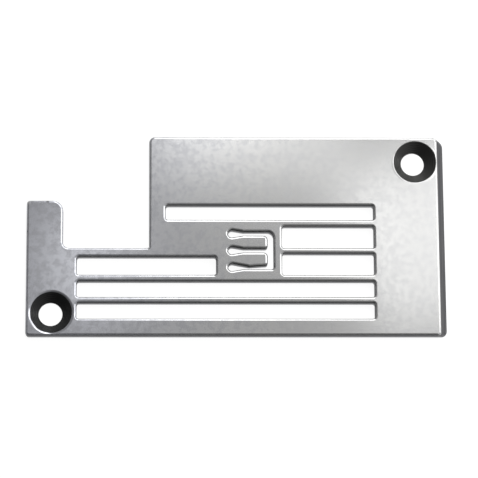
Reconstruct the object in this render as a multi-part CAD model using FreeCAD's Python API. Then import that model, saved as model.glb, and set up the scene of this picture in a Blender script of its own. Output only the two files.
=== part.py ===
import FreeCAD, Part
import math
import os

# Needle plate of a three-needle coverstitch sewing machine: one flat piece of steel, cut through
# with the slots that the feed dogs rise in and the forked slot that the needles pass.
# X runs along the feed, Y across it, and +Z is up through the polished face. The origin is the
# middle of the plate's overall rectangle, on its underside. All sizes are in millimetres, and
# places along X and Y are worked out from the left and the lower edge.

# Blank
plate_length = 78.0
plate_width = 38.0
plate_thickness = 2.0
edge_round = 0.4

# Right-hand edge, ground to a slope down to a low upright land. The slope turns a little way
# round both corners, and the face has smaller corners above it than the outline has below.
bevel_run = 1.35
bevel_land = 0.3
lower_face_corner = 0.5
upper_face_corner = 1.0

# Arm at the left, and the notch between it and the main field
arm_width = 6.75
arm_reach = 9.05
notch_width = 16.0
notch_land = 1.65

# Corner radii of the outline, going round from the lower left
lower_left_corner = 0.65
lower_right_corner = 1.05
upper_right_corner = 1.8
shoulder_corner = 1.1
notch_shoulder_corner = 0.3
notch_arm_corner = 1.2
arm_inner_corner = 1.9
arm_outer_corner = 0.5

# Feed slots: rows are stacked upwards from the lower edge, with a bar between each and the next.
# The two long slots run from margin to margin. The right-hand slots end with them, the left-hand
# one stops short of the needle eyes, and the top one starts inside the shoulder of the notch.
left_margin = 9.35
right_margin = 13.35
lower_margin = 3.2
first_row_width = 3.0
first_bar = 1.1
second_row_width = 3.0
second_bar = 1.2
left_slot_width = 3.45
right_slot_length = 17.15
third_row_width = 4.1
third_bar = 1.0
fourth_row_width = 4.2
fourth_bar = 1.2
top_slot_land = 3.1
top_row_width = 2.8
slot_corner = 0.45

# Forked needle slot: three needle eyes, each with a neck that runs into one cross slot
needle_count = 3
needle_pitch = 3.2
fork_length = 8.45
eye_width = 1.7
eye_corner = 0.7
eye_taper = 2.75
eye_land = 2.25
neck_width = 0.78
neck_blend = 1.5
cross_slot_width = 1.1
cross_slot_land = 1.6
cross_upper_corner = 1.2
cross_lower_corner = 0.45
tongue_tip_round = 0.75
tongue_tip_corner = 0.45
pinch_reach = 3.85
pinch_gap = 0.53
pinch_blend = 1.0

# Two countersunk screw holes, at opposite corners. The lands are what is left of the plate
# between a countersink's rim and the nearest edges, and the right-hand rim touches the slope.
# Each hole is drilled a little to the left of its countersink's middle, and a little below it.
screw_hole_diameter = 4.4
countersink_diameter = 8.1
countersink_angle = 100.0
left_rim_side_land = 0.65
left_rim_lower_land = 0.3
right_rim_upper_land = 0.75
left_hole_offset = 0.15
right_hole_offset = 0.35
hole_drop = 0.1

# Where the rows of feed slots and the needle slot start and end
first_row_floor = lower_margin
second_row_floor = first_row_floor + first_row_width + first_bar
third_row_floor = second_row_floor + second_row_width + second_bar
fourth_row_floor = third_row_floor + third_row_width + third_bar
fourth_row_top = fourth_row_floor + fourth_row_width
top_row_floor = fourth_row_top + fourth_bar
notch_floor = third_row_floor + left_slot_width + notch_land
shoulder = arm_width + notch_width
slots_end = plate_length - right_margin
right_slots_start = slots_end - right_slot_length
cross_wall = right_slots_start - cross_slot_land
eye_end = cross_wall - fork_length
left_slot_end = eye_end - eye_land

# The upper edges are rounded as far as the narrowest bar has room for
narrowest_bar = min(first_bar, second_bar, third_bar, fourth_bar)
largest_round = 0.45 * narrowest_bar
face_round = min(edge_round, largest_round)

# A corner of metal keeps a little radius of its own inside the rounded edge
least_corner = face_round + 0.05


def rounded_wire(corners):
    """Closed wire through the corners (x, y, radius), each turned with a tangent arc."""
    starts, ends, middles = [], [], []
    for index, (x, y, radius) in enumerate(corners):
        corner = FreeCAD.Vector(x, y, 0)
        before = FreeCAD.Vector(*corners[index - 1][:2], 0) - corner
        after = FreeCAD.Vector(*corners[(index + 1) % len(corners)][:2], 0) - corner
        half_angle = before.getAngle(after) / 2
        before.normalize()
        after.normalize()
        bisector = before + after
        bisector.normalize()
        reach = radius / math.tan(half_angle)
        starts.append(corner + before * reach)
        ends.append(corner + after * reach)
        middles.append(corner + bisector * (radius / math.sin(half_angle) - radius))
    edges = []
    for index in range(len(corners)):
        edges.append(Part.Arc(starts[index], middles[index], ends[index]).toShape())
        next_start = starts[(index + 1) % len(corners)]
        if (next_start - ends[index]).Length > 1e-6:
            edges.append(Part.LineSegment(ends[index], next_start).toShape())
    return Part.Wire(edges)


def outline(height, right_edge, lower_right, upper_right):
    """Outer edge of the plate at one height, with the notch that leaves the arm standing."""
    arm_top = notch_floor + arm_reach
    wire = rounded_wire([
        (0, 0, max(lower_left_corner, least_corner)),
        (right_edge, 0, lower_right),
        (right_edge, plate_width, upper_right),
        (shoulder, plate_width, max(shoulder_corner, least_corner)),
        (shoulder, notch_floor, notch_shoulder_corner),
        (arm_width, notch_floor, notch_arm_corner),
        (arm_width, arm_top, max(arm_inner_corner, least_corner)),
        (0, arm_top, max(arm_outer_corner, least_corner)),
    ])
    wire.translate(FreeCAD.Vector(0, 0, height))
    return wire


def blank():
    """The plate before the slots: its walls are upright, but for the slope above the land."""
    face_corner = max(lower_face_corner, least_corner)
    levels = [
        outline(0, plate_length, lower_right_corner, upper_right_corner),
        outline(bevel_land, plate_length, lower_right_corner, upper_right_corner),
        outline(plate_thickness, plate_length - bevel_run, face_corner, upper_face_corner),
    ]
    return Part.makeLoft(levels, True, True).removeSplitter()


def feed_slot(start, end, floor, slot_width):
    """Wire of one feed slot: a rectangle with small milled corners."""
    top = floor + slot_width
    corners = [(start, floor), (end, floor), (end, top), (start, top)]
    return rounded_wire([(x, y, slot_corner) for x, y in corners])


def feed_slots():
    """Wires of the six feed slots, from the lower edge up."""
    return [
        feed_slot(left_margin, slots_end, first_row_floor, first_row_width),
        feed_slot(left_margin, slots_end, second_row_floor, second_row_width),
        feed_slot(left_margin, left_slot_end, third_row_floor, left_slot_width),
        feed_slot(right_slots_start, slots_end, third_row_floor, third_row_width),
        feed_slot(right_slots_start, slots_end, fourth_row_floor, fourth_row_width),
        feed_slot(shoulder + top_slot_land, slots_end, top_row_floor, top_row_width),
    ]


def needle_slot():
    """Wire of the forked slot. It goes round from the upper right, down past each needle."""
    neck_start = eye_end + eye_taper
    tongue_tip = cross_wall - cross_slot_width
    middle_line = (third_row_floor + fourth_row_top) / 2
    first_line = middle_line + needle_pitch * (needle_count - 1) / 2
    half_neck = neck_width / 2
    half_eye = eye_width / 2
    corners = [(cross_wall, first_line + half_neck, cross_upper_corner)]
    for needle in range(needle_count):
        line = first_line - needle * needle_pitch
        first = needle == 0
        last = needle == needle_count - 1
        if not first:
            corners.append((tongue_tip, line + half_neck, max(tongue_tip_corner, least_corner)))
        if last:
            corners.append((eye_end + pinch_reach, line - half_neck + pinch_gap, pinch_blend))
        else:
            corners.append((neck_start, line + half_neck, neck_blend))
        corners.append((eye_end, line + half_eye, eye_corner))
        corners.append((eye_end, line - half_eye, eye_corner))
        corners.append((neck_start, line - half_neck, neck_blend))
        if not last:
            corners.append((tongue_tip, line - half_neck, max(tongue_tip_round, least_corner)))
        else:
            corners.append((cross_wall, line - half_neck, cross_lower_corner))
    return rounded_wire(corners)


def round_upper_edges(plate):
    """Round every edge of the upper face."""
    upper = [edge for edge in plate.Edges
             if all(abs(vertex.Z - plate_thickness) < 1e-6 for vertex in edge.Vertexes)]
    return plate.makeFillet(face_round, upper)


def slot_cutter(wire):
    """Upright block that cuts one slot through the plate."""
    return Part.Face(wire).extrude(FreeCAD.Vector(0, 0, plate_thickness))


def screw_hole_cutter(x, y, offset):
    """Countersink about x, y with its hole, which sits off to the left and a little below."""
    beyond = 1.0
    slope = math.tan(math.radians(countersink_angle / 2))
    depth = countersink_diameter / 2 / slope
    sink = Part.makeCone(0, (depth + beyond) * slope, depth + beyond)
    sink.translate(FreeCAD.Vector(x, y, plate_thickness - depth))
    hole = Part.makeCylinder(screw_hole_diameter / 2, plate_thickness + 2 * beyond)
    hole.translate(FreeCAD.Vector(x - offset, y - hole_drop, -beyond))
    return sink.fuse(hole)


def needle_plate():
    """The whole plate: slots cut, polished round the upper edges, then drilled for the screws."""
    plate = blank().cut([slot_cutter(wire) for wire in feed_slots() + [needle_slot()]])
    plate = round_upper_edges(plate)
    rim = countersink_diameter / 2
    plate = plate.cut([
        screw_hole_cutter(left_rim_side_land + rim, left_rim_lower_land + rim, left_hole_offset),
        screw_hole_cutter(plate_length - bevel_run - rim, plate_width - right_rim_upper_land - rim,
                          right_hole_offset),
    ])
    plate.translate(FreeCAD.Vector(-plate_length / 2, -plate_width / 2, 0))
    return plate.Solids[0]


os.makedirs("parts", exist_ok=True)
needle_plate().exportStep("parts/needle_plate.step")
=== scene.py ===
import bmesh
import bpy
import math
from mathutils import Matrix, Vector


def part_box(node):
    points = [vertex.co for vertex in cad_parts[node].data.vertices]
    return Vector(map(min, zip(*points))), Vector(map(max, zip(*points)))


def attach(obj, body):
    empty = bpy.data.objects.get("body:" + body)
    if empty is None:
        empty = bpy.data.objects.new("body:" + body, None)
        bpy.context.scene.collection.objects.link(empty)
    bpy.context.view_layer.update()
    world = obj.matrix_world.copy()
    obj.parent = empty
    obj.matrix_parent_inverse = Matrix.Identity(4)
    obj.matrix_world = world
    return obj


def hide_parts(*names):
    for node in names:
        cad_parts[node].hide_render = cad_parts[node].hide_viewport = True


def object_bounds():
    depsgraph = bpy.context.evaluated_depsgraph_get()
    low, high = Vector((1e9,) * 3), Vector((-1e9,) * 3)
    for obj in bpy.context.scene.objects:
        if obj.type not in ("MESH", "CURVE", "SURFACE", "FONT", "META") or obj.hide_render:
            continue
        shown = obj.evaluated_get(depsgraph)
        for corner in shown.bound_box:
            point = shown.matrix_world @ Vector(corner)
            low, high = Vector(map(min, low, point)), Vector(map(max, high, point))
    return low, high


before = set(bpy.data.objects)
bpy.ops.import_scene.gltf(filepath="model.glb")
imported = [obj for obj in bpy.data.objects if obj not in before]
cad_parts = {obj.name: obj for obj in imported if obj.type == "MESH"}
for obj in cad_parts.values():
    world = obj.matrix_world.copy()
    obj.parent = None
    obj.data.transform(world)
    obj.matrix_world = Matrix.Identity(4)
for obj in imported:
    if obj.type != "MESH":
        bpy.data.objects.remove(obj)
cad_low, cad_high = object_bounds()

# The camera
# A long lens looks down on the plate from in front, a little to the left, with a slight roll.
sensor_width = 0.036
lens_length = 0.19574
camera_distance = 0.48341
aim_point = Vector((0.00047, -0.00073, cad_high.z))
tilt_sideways = math.radians(1.903)
tilt_forward = math.radians(13.522)
camera_roll = math.radians(-0.3645)

backward = Vector((-math.tan(tilt_sideways), -math.tan(tilt_forward), 1.0)).normalized()
level_right = Vector((0.0, 1.0, 0.0)).cross(backward).normalized()
level_up = backward.cross(level_right)
right = level_right * math.cos(camera_roll) + level_up * math.sin(camera_roll)
upward = level_up * math.cos(camera_roll) - level_right * math.sin(camera_roll)
camera_data = bpy.data.cameras.new("studio_camera")
camera_data.sensor_width = sensor_width * 1000
camera_data.lens = lens_length * 1000
camera_data.clip_start = 0.01
camera_data.clip_end = 10.0
camera = bpy.data.objects.new("studio_camera", camera_data)
bpy.context.scene.collection.objects.link(camera)
camera.matrix_world = Matrix.Translation(aim_point + backward * camera_distance) @ Matrix(
    (right, upward, backward)).transposed().to_4x4()
bpy.context.scene.camera = camera

# The needle plate: blank and slots
# One flat piece of steel with six feed slots and a forked needle slot milled right through it. Its
# right-hand edge is ground to a slope, and every upper edge is rounded over in the buffing.
# Sizes are in millimetres from the plate's left and lower edge until the mesh is finished.
MM = 0.001
plate_low, plate_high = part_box("needle_plate")
plate_length = (plate_high.x - plate_low.x) / MM
plate_width = (plate_high.y - plate_low.y) / MM
plate_thickness = (plate_high.z - plate_low.z) / MM
edge_round = 0.45
bevel_run = 1.35
bevel_land = 0.3
slope_lean = 0.01
corner_steps = 10
edge_steps = 8

arm_width = 6.75
arm_top = 25.65
shoulder = 22.75
notch_floor = 16.6
lower_left_corner = 0.65
shoulder_corner = 1.1
notch_shoulder_corner = 0.3
notch_arm_corner = 1.2
arm_inner_corner = 1.9
arm_outer_corner = 0.55
lower_face_corner = 0.55
upper_face_corner = 1.0
lower_right_corner = 1.05
upper_right_corner = 1.8


def outline(right_edge, lower_right, upper_right):
    """Corners of the outer edge as (x, y, radius), going round from the lower left."""
    return [
        (0, 0, lower_left_corner), (right_edge, 0, lower_right),
        (right_edge, plate_width, upper_right), (shoulder, plate_width, shoulder_corner),
        (shoulder, notch_floor, notch_shoulder_corner), (arm_width, notch_floor, notch_arm_corner),
        (arm_width, arm_top, arm_inner_corner), (0, arm_top, arm_outer_corner),
    ]


slot_corner = 0.45
slots_end = 64.65
feed_slots = {
    "first": (9.35, slots_end, 3.2, 6.2),
    "second": (9.35, slots_end, 7.3, 10.3),
    "third_left": (9.35, 35.2, 11.5, 14.95),
    "third_right": (47.5, slots_end, 11.5, 15.6),
    "fourth": (47.5, slots_end, 16.6, 20.8),
    "top": (25.85, slots_end, 22.0, 24.8),
}

needle_lines = (19.35, 16.15, 12.95)
half_eye = 0.85
half_neck = 0.39
eye_end = 37.45
neck_start = 40.2
tongue_tip = 44.8
cross_wall = 45.9
pinch_x = 41.3
pinch_rise = 0.14
pinch_blend = 1.0
eye_corner = 0.7
neck_blend = 1.5
tongue_tip_round = 0.75
tongue_tip_corner = 0.5
cross_upper_corner = 1.2
cross_lower_corner = 0.45
upper_line, _, lower_line = needle_lines
needle_slot = [(cross_wall, upper_line + half_neck, cross_upper_corner)]
for line in needle_lines:
    if line != upper_line:
        needle_slot.append((tongue_tip, line + half_neck, tongue_tip_corner))
    if line == lower_line:
        needle_slot.append((pinch_x, line + pinch_rise, pinch_blend))
    else:
        needle_slot.append((neck_start, line + half_neck, neck_blend))
    needle_slot.append((eye_end, line + half_eye, eye_corner))
    needle_slot.append((eye_end, line - half_eye, eye_corner))
    needle_slot.append((neck_start, line - half_neck, neck_blend))
    if line == lower_line:
        needle_slot.append((cross_wall, line - half_neck, cross_lower_corner))
    else:
        needle_slot.append((tongue_tip, line - half_neck, tongue_tip_round))


def rounded_loop(corners, metal_inside):
    """Points of a closed line with rounded corners, each with its direction out of the metal."""
    points = []
    for index, (x, y, radius) in enumerate(corners):
        corner = Vector((x, y))
        before = (Vector(corners[index - 1][:2]) - corner).normalized()
        after = (Vector(corners[(index + 1) % len(corners)][:2]) - corner).normalized()
        half_angle = before.angle(after) / 2
        turns_left = before.x * after.y - before.y * after.x < 0
        centre = corner + (before + after).normalized() * (radius / math.sin(half_angle))
        first = corner + before * (radius / math.tan(half_angle)) - centre
        start = math.atan2(first.y, first.x)
        sweep = (math.pi - 2 * half_angle) * (1 if turns_left else -1)
        for step in range(corner_steps + 1):
            angle = start + sweep * step / corner_steps
            outward = Vector((math.cos(angle), math.sin(angle)))
            points.append((centre + outward * radius,
                           outward if turns_left == metal_inside else -outward))
    return points


# What each face of the mesh is
FACE, ROUNDED, CUT_WALL, UNDERSIDE, SLOPE, LEFT_RIM, RIGHT_RIM, LEFT_SINK, RIGHT_SINK = range(1, 10)
plate_bm = bmesh.new()
kind = plate_bm.faces.layers.int.new("kind")


def add_walls(upper, lower):
    """Rounded upper edge, wall and foot round one closed line, from its points above and below."""
    rings = []
    leans = [math.atan((foot - point).dot(outward) / (plate_thickness - bevel_land))
             for (point, outward), (foot, _) in zip(upper, lower)]
    for step in range(edge_steps + 1):
        ring = []
        for (point, outward), lean in zip(upper, leans):
            turn = math.pi / 2 - lean
            inset = edge_round * (math.tan(turn / 2) - math.sin(turn * step / edge_steps))
            drop = edge_round * (1 - math.cos(turn * step / edge_steps))
            place = point - outward * inset
            place.y = min(max(place.y, 0), plate_width)
            ring.append(plate_bm.verts.new((*place, plate_thickness - drop)))
        rings.append(ring)
    for height in (bevel_land, 0):
        rings.append([plate_bm.verts.new((*foot, height)) for foot, _ in lower])
    for level, (above, below) in enumerate(zip(rings, rings[1:])):
        for index in range(len(above)):
            face = plate_bm.faces.new((above[index - 1], above[index], below[index],
                                       below[index - 1]))
            if level < edge_steps:
                face[kind] = ROUNDED
            elif level == edge_steps and max(leans[index - 1], leans[index]) > slope_lean:
                face[kind] = SLOPE
            else:
                face[kind] = CUT_WALL
    for ring, edges in ((rings[0], face_edges), (rings[-1], underside_edges)):
        edges.extend(plate_bm.edges.get((ring[index - 1], ring[index]))
                     for index in range(len(ring)))


face_edges, underside_edges = [], []
face_outline = outline(plate_length - bevel_run, lower_face_corner, upper_face_corner)
foot_outline = outline(plate_length, lower_right_corner, upper_right_corner)
add_walls(rounded_loop(face_outline, True), rounded_loop(foot_outline, True))
slots = [[(x, y, slot_corner) for x, y in ((start, floor), (end, floor), (end, top), (start, top))]
         for start, end, floor, top in feed_slots.values()]
for corners in slots + [needle_slot]:
    slot_line = rounded_loop(corners, False)
    add_walls(slot_line, slot_line)
for edges, value in ((face_edges, FACE), (underside_edges, UNDERSIDE)):
    filled = bmesh.ops.triangle_fill(plate_bm, use_beauty=True, edges=edges)
    for item in filled["geom"]:
        if isinstance(item, bmesh.types.BMFace):
            item[kind] = value
bmesh.ops.recalc_face_normals(plate_bm, faces=plate_bm.faces[:])

plate_mesh = bpy.data.meshes.new("plate")
plate_bm.to_mesh(plate_mesh)
plate_bm.free()
plate = bpy.data.objects.new("polished_plate", plate_mesh)
bpy.context.scene.collection.objects.link(plate)

# The two countersunk screw holes
# Drilled, then opened with a turning tool that leaves fine rings in the cone; the cone's near-black
# colours are painted shade, darker in the left-hand one. Each hole is a little off its
# countersink's middle. The left-hand rim is well rounded by the buffing.
hole_radius = 2.2
sink_radius = 4.05
sink_lean = math.radians(50)
turned_steps = 96
rim_steps = 8
sink_beyond = 0.5
hole_beyond = 1
screw_holes = {
    "left": {"sink": Vector((4.7, 4.35)), "hole": Vector((4.55, 4.25)), "rim_round": 0.7,
             "rim": LEFT_RIM, "cone": LEFT_SINK, "dark": (0.028, 0.029, 0.03),
             "light": (0.075, 0.075, 0.075)},
    "right": {"sink": Vector((72.6, 33.2)), "hole": Vector((72.25, 33.1)), "rim_round": 0.15,
              "rim": RIGHT_RIM, "cone": RIGHT_SINK, "dark": (0.05, 0.05, 0.048),
              "light": (0.14, 0.14, 0.137)},
}


def cut_turned(centre, rings, first_kind, rest_kind, first_levels):
    """Cut a turned shape out of the plate: rings are (radius, height) from the bottom up."""
    cutter_bm = bmesh.new()
    layer = cutter_bm.faces.layers.int.new("kind")
    radius, height = rings[0]
    bmesh.ops.create_circle(cutter_bm, cap_ends=True, segments=turned_steps, radius=radius)
    bmesh.ops.translate(cutter_bm, verts=cutter_bm.verts[:], vec=(*centre, height))
    lid = cutter_bm.faces[:] + cutter_bm.edges[:]
    for level, (next_radius, next_height) in enumerate(rings[1:]):
        before = set(cutter_bm.faces)
        lid = bmesh.ops.extrude_face_region(cutter_bm, geom=lid)["geom"]
        for vert in lid:
            if isinstance(vert, bmesh.types.BMVert):
                reach = (vert.co.xy - centre) * (next_radius / radius)
                vert.co = (*(centre + reach), next_height)
        for face in set(cutter_bm.faces) - before:
            face[layer] = first_kind if level < first_levels else rest_kind
        radius = next_radius
    bmesh.ops.recalc_face_normals(cutter_bm, faces=cutter_bm.faces[:])
    cutter_mesh = bpy.data.meshes.new("cutter")
    cutter_bm.to_mesh(cutter_mesh)
    cutter_bm.free()
    cutter = bpy.data.objects.new("cutter", cutter_mesh)
    bpy.context.scene.collection.objects.link(cutter)
    cutting = plate.modifiers.new("cutting", "BOOLEAN")
    cutting.operation = "DIFFERENCE"
    cutting.solver = "EXACT"
    cutting.object = cutter
    bpy.context.view_layer.update()
    cut_mesh = bpy.data.meshes.new_from_object(
        plate.evaluated_get(bpy.context.evaluated_depsgraph_get()))
    plate.modifiers.clear()
    plate.data = cut_mesh
    bpy.data.objects.remove(cutter)


for place in screw_holes.values():
    steep = math.pi / 2 - sink_lean
    rim_reach = place["rim_round"] * math.tan(steep / 2)
    tip = sink_radius - plate_thickness * math.tan(sink_lean)
    rings = [(tip - sink_beyond * math.tan(sink_lean), -sink_beyond)]
    for step in range(rim_steps):
        angle = steep * (1 - step / rim_steps)
        rings.append((sink_radius + rim_reach - place["rim_round"] * math.sin(angle),
                      plate_thickness - place["rim_round"] * (1 - math.cos(angle))))
    last_radius, last_height = rings[-1]
    rings.append((last_radius + sink_beyond / math.tan(steep / rim_steps),
                  last_height + sink_beyond))
    cut_turned(place["sink"], rings, place["cone"], place["rim"], 1)
    cut_turned(place["hole"],
               [(hole_radius, -hole_beyond), (hole_radius, plate_thickness + hole_beyond)],
               place["cone"], place["cone"], 1)

# The mesh goes to its real place and size, and faces that meet at a ridge stay crisp
weld_distance = 1e-4
crisp_angle = math.radians(25)
finish_bm = bmesh.new()
finish_bm.from_mesh(plate.data)
bmesh.ops.remove_doubles(finish_bm, verts=finish_bm.verts[:], dist=weld_distance)
finish_bm.normal_update()
for face in finish_bm.faces:
    face.smooth = True
for edge in finish_bm.edges:
    edge.smooth = edge.is_manifold and edge.calc_face_angle(0) < crisp_angle
bmesh.ops.translate(finish_bm, verts=finish_bm.verts[:],
                    vec=(-plate_length / 2, -plate_width / 2, 0))
bmesh.ops.scale(finish_bm, verts=finish_bm.verts[:], vec=(MM, MM, MM))
bmesh.ops.translate(finish_bm, verts=finish_bm.verts[:],
                    vec=((plate_low.x + plate_high.x) / 2, (plate_low.y + plate_high.y) / 2,
                         plate_low.z))
finish_bm.to_mesh(plate.data)
finish_bm.free()


def facing(direction, radius, drop):
    """Normal of a rounding that faces a level direction, at a drop below its top."""
    upright = min(max(1 - drop / radius, 0), 1)
    return Vector((*(direction.xy.normalized() * math.sqrt(1 - upright ** 2)), upright))


# The shading follows the true shape: flat faces are flat, and roundings start level
shading = []
face_kinds = [item.value for item in plate.data.attributes["kind"].data]
plate_corner = Vector((plate_low.x, plate_low.y))
for polygon, face_kind in zip(plate.data.polygons, face_kinds):
    for corner in polygon.loop_indices:
        normal = plate.data.corner_normals[corner].vector.copy()
        vertex = plate.data.vertices[plate.data.loops[corner].vertex_index].co
        drop = (plate_high.z - vertex.z) / MM
        if face_kind == FACE:
            normal = Vector((0, 0, 1))
        elif face_kind == ROUNDED:
            normal = facing(normal, edge_round, drop)
        elif face_kind == CUT_WALL:
            normal = facing(normal, edge_round, edge_round)
        elif face_kind in (SLOPE, UNDERSIDE) and abs(polygon.normal.y) < 0.01:
            normal = polygon.normal.copy()
        for place in screw_holes.values():
            to_middle = plate_corner + place["sink"] * MM - vertex.xy
            to_axis = plate_corner + place["hole"] * MM - vertex.xy
            if face_kind == place["rim"]:
                normal = facing(to_middle, place["rim_round"], drop)
            elif face_kind == place["cone"] and polygon.normal.z > 0.5:
                normal = facing(to_middle, 1, 1 - math.sin(sink_lean))
            elif face_kind == place["cone"]:
                normal = facing(to_axis, 1, 1)
        shading.append(normal)
plate.data.normals_split_custom_set(shading)


def new_group(name, inputs, outputs):
    """Empty shader node group, from inputs (name, type, default) and outputs (name, type)."""
    group = bpy.data.node_groups.new(name, "ShaderNodeTree")
    for label, socket_type, default in inputs:
        socket = group.interface.new_socket(label, in_out="INPUT", socket_type=socket_type)
        socket.default_value = default
    for label, socket_type in outputs:
        group.interface.new_socket(label, in_out="OUTPUT", socket_type=socket_type)
    entry = group.nodes.new("NodeGroupInput")
    leave = group.nodes.new("NodeGroupOutput")
    return group, entry, leave


def new_material(name, metallic, roughness):
    """Material with a bare shader, and a node that gives Object coordinates."""
    material = bpy.data.materials.new(name)
    material.use_nodes = True
    nodes = material.node_tree.nodes
    shader = nodes["Principled BSDF"]
    shader.inputs["Metallic"].default_value = metallic
    shader.inputs["Roughness"].default_value = roughness
    coordinates = nodes.new("ShaderNodeTexCoord")
    return material, nodes, material.node_tree.links, shader, coordinates


def arithmetic(nodes, links, operation, first, second):
    """Math node on two terms, each a number or a socket."""
    node = nodes.new("ShaderNodeMath")
    node.operation = operation
    for socket, term in zip(node.inputs, (first, second)):
        if isinstance(term, bpy.types.NodeSocket):
            links.new(term, socket)
        else:
            socket.default_value = term
    return node.outputs[0]


# Soft cloudy patches left by the buffing wheel and by handling: a mask from 0 to 1
clouds, clouds_in, clouds_out = new_group(
    "buffed_clouds",
    [("Vector", "NodeSocketVector", (0, 0, 0)), ("Patch Size", "NodeSocketFloat", 0.001)],
    [("Mask", "NodeSocketFloat")])
patch_noise = clouds.nodes.new("ShaderNodeTexNoise")
patch_noise.inputs["Detail"].default_value = 3.0
patch_noise.inputs["Roughness"].default_value = 0.55
patch_scale = arithmetic(clouds.nodes, clouds.links, "DIVIDE", 1.0, clouds_in.outputs["Patch Size"])
clouds.links.new(clouds_in.outputs["Vector"], patch_noise.inputs["Vector"])
clouds.links.new(patch_scale, patch_noise.inputs["Scale"])
clouds.links.new(patch_noise.outputs["Fac"], clouds_out.inputs["Mask"])

# Fine straight marks of grinding or buffing along X: a height from 0 to 1
marks, marks_in, marks_out = new_group(
    "straight_marks",
    [("Vector", "NodeSocketVector", (0, 0, 0)), ("Mark Width", "NodeSocketFloat", 0.0001),
     ("Mark Length", "NodeSocketFloat", 0.01)],
    [("Height", "NodeSocketFloat")])
mark_split = marks.nodes.new("ShaderNodeSeparateXYZ")
mark_join = marks.nodes.new("ShaderNodeCombineXYZ")
mark_noise = marks.nodes.new("ShaderNodeTexNoise")
mark_noise.inputs["Scale"].default_value = 1.0
mark_noise.inputs["Detail"].default_value = 2.0
marks.links.new(marks_in.outputs["Vector"], mark_split.inputs[0])
for axis, label in (("X", "Mark Length"), ("Y", "Mark Width"), ("Z", "Mark Width")):
    marks.links.new(arithmetic(marks.nodes, marks.links, "DIVIDE", mark_split.outputs[axis],
                               marks_in.outputs[label]), mark_join.inputs[axis])
marks.links.new(mark_join.outputs[0], mark_noise.inputs["Vector"])
marks.links.new(mark_noise.outputs["Fac"], marks_out.inputs["Height"])


def spread(nodes, links, source, low, high, to_low, to_high):
    """Soft-edged change of a number's range."""
    ramp = nodes.new("ShaderNodeMapRange")
    ramp.interpolation_type = "SMOOTHSTEP"
    for label, value in (("From Min", low), ("From Max", high), ("To Min", to_low),
                         ("To Max", to_high)):
        ramp.inputs[label].default_value = value
    links.new(source, ramp.inputs["Value"])
    return ramp.outputs["Result"]


def spot(nodes, links, position, point, reach, core=0.0):
    """Mask of a round soft-edged spot: 1 within the core, 0 beyond the reach."""
    away = nodes.new("ShaderNodeVectorMath")
    away.operation = "DISTANCE"
    away.inputs[1].default_value = point
    links.new(position, away.inputs[0])
    return spread(nodes, links, away.outputs["Value"], core, reach, 1, 0)


def blend_colours(nodes, links, mask, first, second):
    """Mix of two colours, each a plain colour or a socket, by a mask."""
    mix = nodes.new("ShaderNodeMix")
    mix.data_type = "RGBA"
    links.new(mask, mix.inputs["Factor"])
    for socket, colour in ((mix.inputs["A"], first), (mix.inputs["B"], second)):
        if isinstance(colour, bpy.types.NodeSocket):
            links.new(colour, socket)
        else:
            socket.default_value = (*colour, 1.0)
    return mix.outputs["Result"]


def bump(nodes, links, height, distance, strength, normal=None):
    """Bump node on a height, over another normal where one is given."""
    node = nodes.new("ShaderNodeBump")
    node.inputs["Distance"].default_value = distance
    node.inputs["Strength"].default_value = strength
    links.new(height, node.inputs["Height"])
    if normal:
        links.new(normal, node.inputs["Normal"])
    return node.outputs["Normal"]


def place_group(nodes, links, group, vector, **values):
    """Put a node group into a material with its own values, and give its mask or height."""
    node = nodes.new("ShaderNodeGroup")
    node.node_tree = group
    links.new(vector, node.inputs["Vector"])
    for label, value in values.items():
        node.inputs[label.replace("_", " ")].default_value = value
    return node.outputs[0]


# The near-black colour of the dull cut steel: painted shade for the dark reflections in the walls
# and lower roundings
painted_shade_cut_colour = (0.04, 0.041, 0.045)

# Polished face and rounded edges. Only the upper part of each rounding is polished; below that, the
# rounding is as dull as the walls and painted in their near-black shade. The polished part reaches
# further down on the edges that face the light from the right, which paints a highlight there.
polished, nodes, links, shader, coordinates = new_material(
    "polished_steel", metallic=1.0, roughness=0.2)
position = coordinates.outputs["Object"]
split = nodes.new("ShaderNodeSeparateXYZ")
links.new(position, split.inputs[0])
# The polish reaches lower on edges that face the light from the right: painted light by facing
faces_lit_side = nodes.new("ShaderNodeVectorMath")
faces_lit_side.operation = "DOT_PRODUCT"
faces_lit_side.inputs[1].default_value = (0.9, 0.3, 0)
links.new(coordinates.outputs["Normal"], faces_lit_side.inputs[0])
painted_light_drop = spread(nodes, links, faces_lit_side.outputs["Value"], 0.2, 0.7, 0.38, 0.62)
painted_light_reach = arithmetic(nodes, links, "MULTIPLY", painted_light_drop, edge_round * MM)
above_reach = arithmetic(nodes, links, "ADD", split.outputs["Z"], painted_light_reach)
fade_start = plate_high.z - 0.00007
fade_end = plate_high.z + 0.00005
buffed_and_lit = spread(nodes, links, above_reach, fade_start, fade_end, 0, 1)
blotches = place_group(nodes, links, clouds, position, Patch_Size=0.0012)
# The left end is painted darker and bluer: painted shade, as the light falls off to the left
left_shade_tone = blend_colours(nodes, links, spread(nodes, links, split.outputs["X"], -0.034, 0.006, 0, 1),
                     (0.62, 0.63, 0.675), (0.665, 0.665, 0.66))
# Random haze patches, laid on more heavily towards the left, where they also add painted shade
haze_and_left_shade = arithmetic(nodes, links, "MULTIPLY",
                     spread(nodes, links, blotches, 0.4, 0.65, 0, 1),
                     spread(nodes, links, split.outputs["X"], -0.02, 0.02, 0.6, 0.15))
hazed_and_left_shaded = blend_colours(nodes, links, haze_and_left_shade, left_shade_tone, (0.49, 0.495, 0.525))
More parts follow.
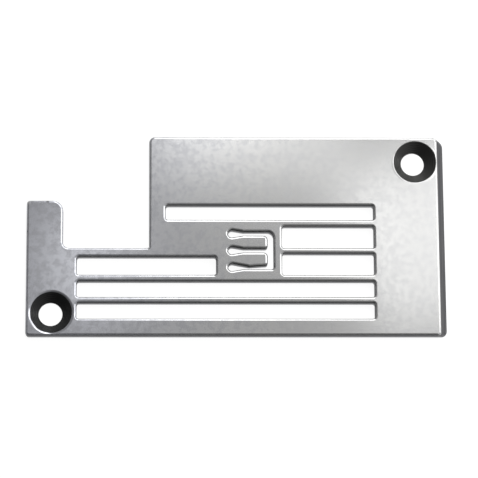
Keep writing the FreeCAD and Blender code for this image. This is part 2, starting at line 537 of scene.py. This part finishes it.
# A nick and a rubbed spot on the arm's edges, and a painted highlight on its corner
nicked = spot(nodes, links, position, (-0.03885, 0.0007, 0.0018), 0.0003)
rubbed = spot(nodes, links, position, (-0.0351, 0.0065, 0.0019), 0.0005)
painted_corner_highlight = spot(nodes, links, position, (-0.0387, 0.0063, 0.0018), 0.0007)
wear_and_painted_light = blend_colours(nodes, links, painted_corner_highlight, hazed_and_left_shaded, (0.92, 0.92, 0.93))
for mask in (nicked, rubbed):
    wear_and_painted_light = blend_colours(nodes, links, mask, wear_and_painted_light, (0.08, 0.08, 0.085))
links.new(blend_colours(nodes, links, buffed_and_lit, painted_shade_cut_colour, wear_and_painted_light), shader.inputs["Base Color"])
haze = spread(nodes, links, blotches, 0.3, 0.7, 0.15, 0.18)
dull = nodes.new("ShaderNodeMix")
links.new(buffed_and_lit, dull.inputs["Factor"])
dull.inputs["A"].default_value = 0.5
links.new(haze, dull.inputs["B"])
links.new(dull.outputs["Result"], shader.inputs["Roughness"])
swell = place_group(nodes, links, clouds, position, Patch_Size=0.004)
wavy = bump(nodes, links, swell, distance=0.00003, strength=0.18)
scratch = place_group(nodes, links, marks, position, Mark_Width=0.00012, Mark_Length=0.006)
scratched = bump(nodes, links, scratch, distance=0.00001, strength=0.1, normal=wavy)
# The countersinking tool raised a faint ring round the right-hand hole
ring_middle = (*(plate_corner + screw_holes["right"]["sink"] * MM), 0.002)
raised = spot(nodes, links, position, ring_middle, reach=0.0045, core=0.0041)
links.new(bump(nodes, links, raised, distance=0.000014, strength=1.0, normal=scratched),
          shader.inputs["Normal"])

# Dull cut walls in painted shade, near black above and brighter towards the foot
cut_wall, nodes, links, shader, coordinates = new_material(
    "cut_wall_steel", metallic=1.0, roughness=0.5)
stain = place_group(nodes, links, clouds, coordinates.outputs["Object"], Patch_Size=0.0006)
# Random stains over the near-black painted shade colour
burnt_and_shaded = blend_colours(nodes, links, spread(nodes, links, stain, 0.3, 0.7, 0, 1),
                      painted_shade_cut_colour, (0.09, 0.09, 0.095))
split = nodes.new("ShaderNodeSeparateXYZ")
links.new(coordinates.outputs["Object"], split.inputs[0])
bright_foot_height = 0.0013
foot = spread(nodes, links, split.outputs["Z"], plate_low.z, plate_low.z + bright_foot_height, 1, 0)
links.new(blend_colours(nodes, links, foot, burnt_and_shaded, (0.42, 0.42, 0.43)), shader.inputs["Base Color"])

# Ground underside
underside, nodes, links, shader, coordinates = new_material(
    "ground_underside_steel", metallic=1.0, roughness=0.35)
position = coordinates.outputs["Object"]
grain = place_group(nodes, links, marks, position, Mark_Width=0.0002, Mark_Length=0.02)
stain = place_group(nodes, links, clouds, position, Patch_Size=0.005)
links.new(blend_colours(nodes, links, spread(nodes, links, stain, 0.3, 0.7, 0, 1),
                        (0.50, 0.50, 0.52), (0.60, 0.60, 0.61)), shader.inputs["Base Color"])
links.new(spread(nodes, links, grain, 0.3, 0.7, 0.3, 0.42), shader.inputs["Roughness"])
links.new(bump(nodes, links, grain, distance=0.00002, strength=0.3), shader.inputs["Normal"])

# Slope of the right-hand edge, ground along Y, its dark colours painted shade
slope, nodes, links, shader, coordinates = new_material(
    "ground_slope_steel", metallic=1.0, roughness=0.42)
turn = nodes.new("ShaderNodeMapping")
turn.inputs["Rotation"].default_value = (0, 0, math.radians(90))
links.new(coordinates.outputs["Object"], turn.inputs["Vector"])
grain = place_group(nodes, links, marks, turn.outputs[0], Mark_Width=0.0002, Mark_Length=0.02)
links.new(blend_colours(nodes, links, spread(nodes, links, grain, 0.3, 0.7, 0, 1),
                        (0.065, 0.065, 0.07), (0.145, 0.145, 0.15)), shader.inputs["Base Color"])
links.new(bump(nodes, links, grain, distance=0.00002, strength=0.3), shader.inputs["Normal"])

# Turned countersinks: fine rings round each one's own centre, in near-black colours that are
# painted shade, darker on the left
turned = []
for side, place in screw_holes.items():
    sink, nodes, links, shader, coordinates = new_material(
        side + "_countersink_steel", metallic=1.0, roughness=0.38)
    to_centre = nodes.new("ShaderNodeMapping")
    to_centre.inputs["Location"].default_value = (*-(plate_corner + place["sink"] * MM), 0)
    links.new(coordinates.outputs["Object"], to_centre.inputs["Vector"])
    fine_rings = nodes.new("ShaderNodeTexWave")
    fine_rings.wave_type = "RINGS"
    fine_rings.rings_direction = "Z"
    fine_rings.inputs["Scale"].default_value = 1100.0
    fine_rings.inputs["Distortion"].default_value = 1.2
    fine_rings.inputs["Detail"].default_value = 2.0
    links.new(to_centre.outputs[0], fine_rings.inputs["Vector"])
    links.new(blend_colours(nodes, links, fine_rings.outputs["Fac"], place["dark"], place["light"]),
              shader.inputs["Base Color"])
    links.new(bump(nodes, links, fine_rings.outputs["Fac"], distance=0.00003, strength=0.4),
              shader.inputs["Normal"])
    turned.append(sink)

finishes = {FACE: polished, ROUNDED: polished, LEFT_RIM: polished, RIGHT_RIM: polished,
            CUT_WALL: cut_wall, UNDERSIDE: underside, SLOPE: slope,
            LEFT_SINK: turned[0], RIGHT_SINK: turned[1]}
materials = [polished, cut_wall, underside, slope, *turned]
for material in materials:
    plate.data.materials.append(material)
for polygon, face_kind in zip(plate.data.polygons, face_kinds):
    polygon.material_index = materials.index(finishes[face_kind])
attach(plate, "root")
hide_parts("needle_plate")

# The floor
# A pale table that the camera and the metal see as white. It keeps the plate's soft shadow.
floor_gap = 0.00005
floor_white = 0.93
floor_bm = bmesh.new()
bmesh.ops.create_grid(floor_bm, x_segments=1, y_segments=1, size=1.5)
bmesh.ops.translate(floor_bm, verts=floor_bm.verts[:], vec=(0, 0, plate_low.z - floor_gap))
floor_mesh = bpy.data.meshes.new("floor")
floor_bm.to_mesh(floor_mesh)
floor_bm.free()
table = bpy.data.objects.new("floor", floor_mesh)
bpy.context.scene.collection.objects.link(table)
table_white = bpy.data.materials.new("pale_table")
table_white.use_nodes = True
nodes = table_white.node_tree.nodes
links = table_white.node_tree.links
nodes.clear()
seen = nodes.new("ShaderNodeLightPath")
mirrored = arithmetic(nodes, links, "MAXIMUM", seen.outputs["Is Glossy Ray"],
                      seen.outputs["Is Transmission Ray"])
looked_at = arithmetic(nodes, links, "MAXIMUM", seen.outputs["Is Camera Ray"], mirrored)
paper = nodes.new("ShaderNodeBsdfDiffuse")
paper.inputs["Color"].default_value = (0.25, 0.25, 0.25, 1)
bright = nodes.new("ShaderNodeEmission")
bright.inputs["Color"].default_value = (1, 1, 1, 1)
links.new(arithmetic(nodes, links, "MULTIPLY", looked_at, floor_white), bright.inputs["Strength"])
both = nodes.new("ShaderNodeAddShader")
links.new(paper.outputs[0], both.inputs[0])
links.new(bright.outputs[0], both.inputs[1])
surface = nodes.new("ShaderNodeOutputMaterial")
links.new(both.outputs[0], surface.inputs["Surface"])
floor_mesh.materials.append(table_white)

# The studio light
# Wide soft panels slope down behind the plate, to its right and between, in a pale room that is
# dimmer in front and to the left. Two small panels above give the patches of light in the face.
panels = {
    "back_panel": {"near": (0.009, 0.063, 0.20), "far": (0.01, 0.42, 0.06), "width": 0.054,
                   "level": 0.55},
    "high_back_panel": {"near": (0.002, 0.074, 0.20), "far": (0.002, 0.42, 0.06),
                        "width": 0.028, "level": 0.6},
    "far_back_panel": {"near": (0.02, 0.098, 0.19), "far": (0.02, 0.42, 0.06), "width": 0.12,
                       "level": 1.3},
    "right_panel": {"near": (0.039, 0.041, 0.20), "far": (0.358, 0.14, 0.06), "width": 0.046,
                    "level": 0.75},
    "side_panel": {"near": (0.075, 0.045, 0.195), "far": (0.42, 0.06, 0.05), "width": 0.08,
                   "level": 1.4},
    "corner_panel": {"near": (0.08, 0.10, 0.19), "far": (0.36, 0.40, 0.05), "width": 0.12,
                     "level": 1.2},
    "streak_panel": {"near": (0.0445, 0.028, 0.20), "far": (0.0445, 0.062, 0.20), "width": 0.008,
                     "level": 0.5},
    "left_panel": {"near": (-0.024, 0.040, 0.20), "far": (-0.044, 0.040, 0.20), "width": 0.026,
                   "level": 0.65},
}
for name, panel in panels.items():
    near, far = Vector(panel["near"]), Vector(panel["far"])
    light = bpy.data.lights.new(name, "AREA")
    light.shape = "RECTANGLE"
    light.size = panel["width"]
    light.size_y = (far - near).length
    light.energy = panel["level"] * math.pi * light.size * light.size_y
    lamp = bpy.data.objects.new(name, light)
    bpy.context.scene.collection.objects.link(lamp)
    along = (far - near).normalized()
    across = along.cross(Vector((0, 0, 1))).normalized()
    outward = across.cross(along)
    if outward.z < 0:
        across, outward = -across, -outward
    lamp.matrix_world = Matrix.Translation((near + far) / 2) @ Matrix(
        (across, along, outward)).transposed().to_4x4()
    lamp.visible_camera = False

room = bpy.data.worlds.new("room")
bpy.context.scene.world = room
room.use_nodes = True
nodes = room.node_tree.nodes
links = room.node_tree.links
nodes.clear()
direction = nodes.new("ShaderNodeTexCoord")
towards_light = nodes.new("ShaderNodeVectorMath")
towards_light.operation = "DOT_PRODUCT"
towards_light.inputs[1].default_value = Vector((0.6, 0.8, 0)).normalized()
links.new(direction.outputs["Generated"], towards_light.inputs[0])
room_light = spread(nodes, links, towards_light.outputs["Value"], -1.1, 0.35, 0.1, 0.63)
elevation = nodes.new("ShaderNodeSeparateXYZ")
links.new(direction.outputs["Generated"], elevation.inputs[0])
low_down = spread(nodes, links, elevation.outputs["Z"], 0.02, 0.14, 1, 0)
left_shade = spread(nodes, links, elevation.outputs["X"], -0.085, 0.02, 0.64, 1.03)
shaded_room = arithmetic(nodes, links, "MULTIPLY", room_light, left_shade)
seen = nodes.new("ShaderNodeLightPath")
mirrored = arithmetic(nodes, links, "MAXIMUM", seen.outputs["Is Glossy Ray"],
                      seen.outputs["Is Transmission Ray"])
mirrored_low = arithmetic(nodes, links, "MULTIPLY", mirrored, low_down)
white_part = arithmetic(nodes, links, "MAXIMUM", seen.outputs["Is Camera Ray"], mirrored_low)
room_level = nodes.new("ShaderNodeMix")
links.new(white_part, room_level.inputs["Factor"])
links.new(shaded_room, room_level.inputs["A"])
room_level.inputs["B"].default_value = 1.0
backdrop = nodes.new("ShaderNodeBackground")
links.new(room_level.outputs["Result"], backdrop.inputs["Strength"])
world_out = nodes.new("ShaderNodeOutputWorld")
links.new(backdrop.outputs[0], world_out.inputs["Surface"])

bpy.context.scene.view_settings.view_transform = "Standard"
